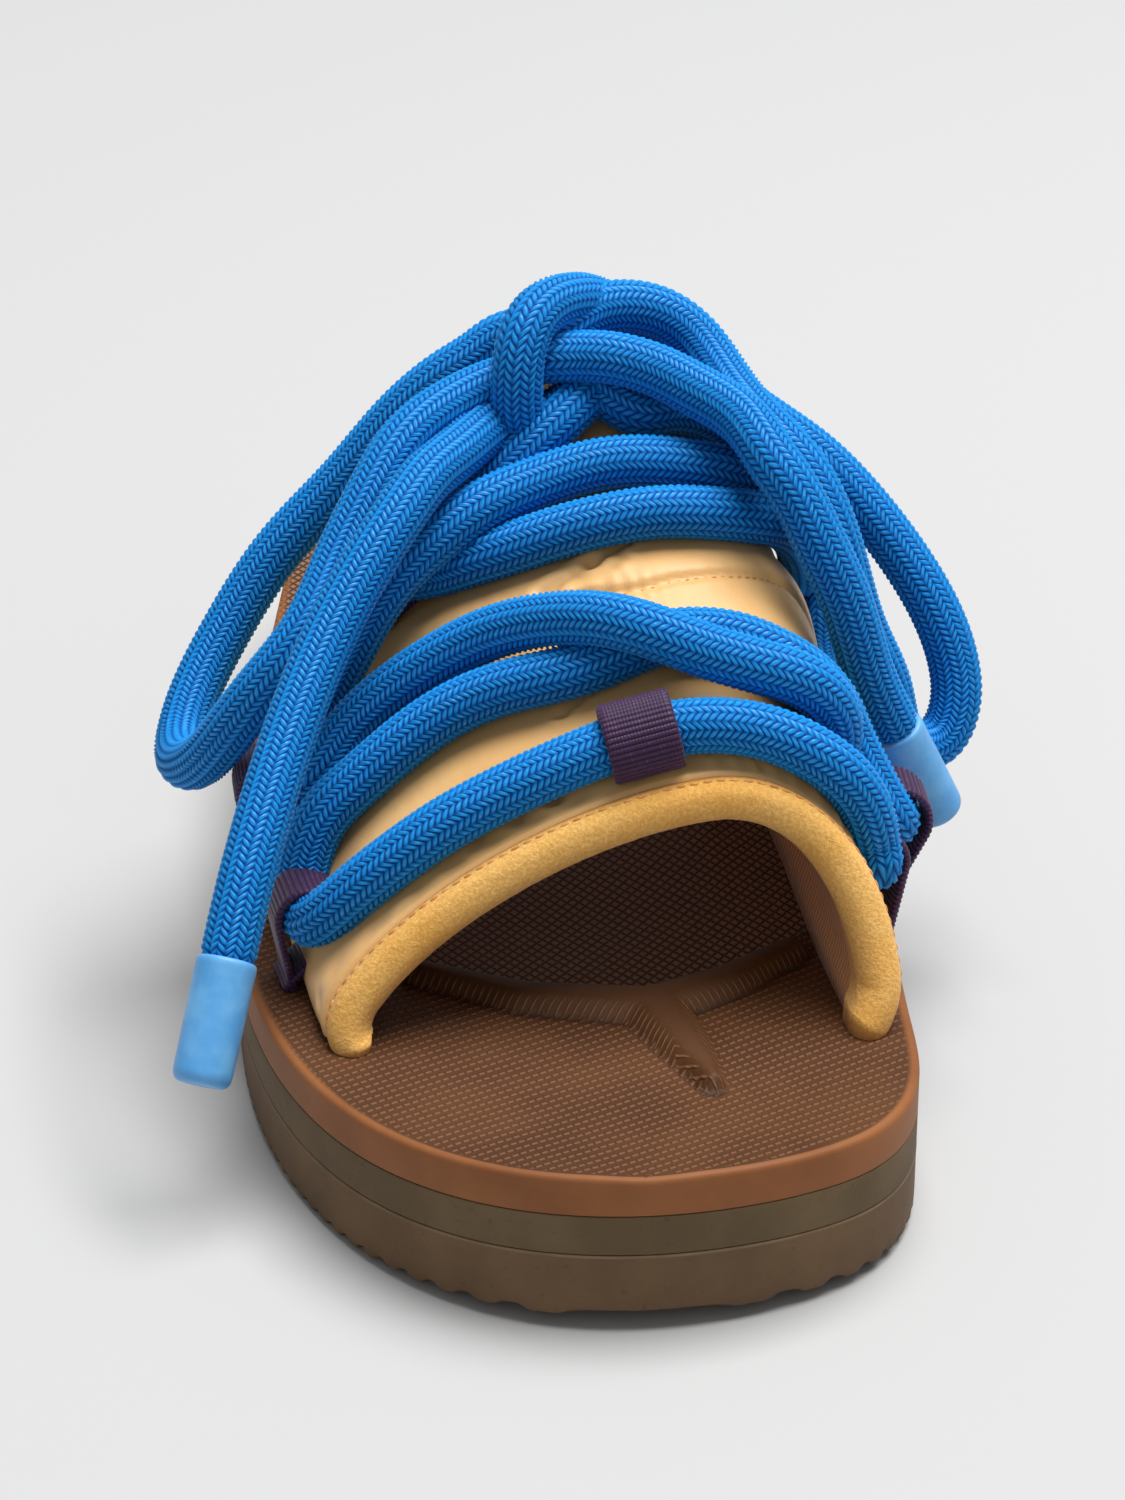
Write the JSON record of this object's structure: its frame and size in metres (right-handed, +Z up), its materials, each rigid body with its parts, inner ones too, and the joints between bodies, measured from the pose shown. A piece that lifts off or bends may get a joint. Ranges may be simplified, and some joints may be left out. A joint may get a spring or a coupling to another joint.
{
  "type": "sport sandal",
  "caption": "Lace-up slide sandal: layered foam sole, moulded footbed with toe bar, open padded hood upper, thick rope lace through webbing loops, tied in a bow with tipped ends.",
  "frame": {"origin": "centre of the footprint box of everything but the free lace, on the floor", "axes": "+X medial side (towards the other foot), +Y from toe to heel, +Z up"},
  "size_m": [0.1395, 0.2836, 0.1204],
  "materials": {
    "outsole": "matt brown foam rubber",
    "midsole": "matt olive brown foam",
    "footbed": "fine moulded diamond grain, satin",
    "upper_nylon": "satin woven nylon, padded",
    "binding_suede": "napped suede",
    "webbing": "ribbed flat webbing",
    "rope": "round braided cord",
    "aglet": "matt moulded tip"
  },
  "bodies": {
    "root": {"outsole": "outsole", "midsole": "midsole", "footbed": "footbed", "upper": "upper_nylon", "toe_binding": "binding_suede", "loop_top": "webbing", "loop_lateral_front": "webbing", "loop_lateral_mid": "webbing", "loop_lateral_rear": "webbing", "loop_medial_front": "webbing", "loop_medial_mid": "webbing", "loop_medial_rear": "webbing", "lace_front": "rope", "lace_middle": "rope", "lace_upper": "rope", "lace_rear_left": "rope", "lace_rear_right": "rope", "lace_knot": "rope", "lace_loop_left": "rope", "lace_loop_right": "rope", "lace_end_left": "rope", "lace_end_right": "rope", "aglet_left": "aglet", "aglet_right": "aglet"}
  },
  "joints": []
}
